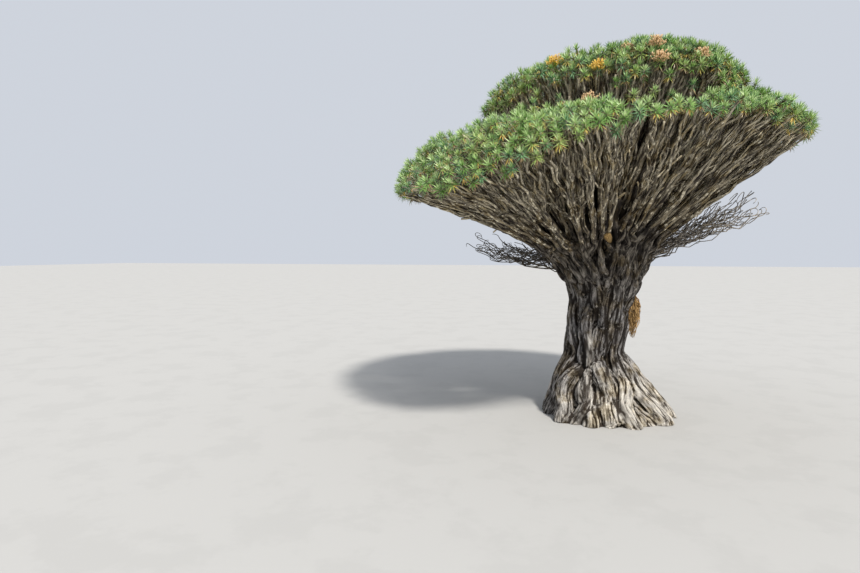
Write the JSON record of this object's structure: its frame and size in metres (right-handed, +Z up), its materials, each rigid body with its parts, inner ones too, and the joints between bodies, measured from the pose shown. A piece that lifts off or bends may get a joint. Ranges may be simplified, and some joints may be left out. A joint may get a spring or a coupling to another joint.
{
  "type": "old dragon blood tree",
  "caption": "Old dragon blood tree with a wide root flare, a fluted trunk, packed boughs that fan out and an umbrella crown of forking twigs with rosettes of stiff leaves.",
  "frame": {"origin": "middle of the flat cut under the trunk, at ground level", "axes": "+Z up, -Y towards the side the picture shows, +X to its right"},
  "size_m": [17.9243, 17.602, 16.1455],
  "materials": {
    "bark": "deeply ridged grey-brown bark",
    "foliage": "satin blue-green stiff leaves on grey twigs",
    "bare_twigs": "matt grey-brown leafless twigs",
    "aerial_roots": "matt orange-brown fibrous roots"
  },
  "bodies": {
    "root": {"trunk": "bark", "bough_01": "bark", "bough_02": "bark", "bough_03": "bark", "bough_04": "bark", "bough_05": "bark", "bough_06": "bark", "bough_07": "bark", "bough_08": "bark", "bough_09": "bark", "bough_10": "bark", "bough_11": "bark", "bough_12": "bark", "bough_13": "bark", "bough_14": "bark", "bough_15": "bark", "bough_16": "bark", "bough_17": "bark", "bough_18": "bark", "bough_19": "bark", "bough_20": "bark", "bough_21": "bark", "bough_22": "bark", "bough_23": "bark", "bough_24": "bark", "foliage_01": "foliage", "foliage_02": "foliage", "foliage_03": "foliage", "foliage_04": "foliage", "foliage_05": "foliage", "foliage_06": "foliage", "foliage_07": "foliage", "foliage_08": "foliage", "foliage_09": "foliage", "foliage_10": "foliage", "foliage_11": "foliage", "foliage_12": "foliage", "foliage_13": "foliage", "foliage_14": "foliage", "foliage_15": "foliage", "foliage_16": "foliage", "foliage_17": "foliage", "foliage_18": "foliage", "foliage_19": "foliage", "foliage_20": "foliage", "foliage_21": "foliage", "foliage_22": "foliage", "foliage_23": "foliage", "foliage_24": "foliage", "bare_twigs_left": "bare_twigs", "bare_twigs_right": "bare_twigs", "aerial_roots": "aerial_roots"}
  },
  "joints": []
}
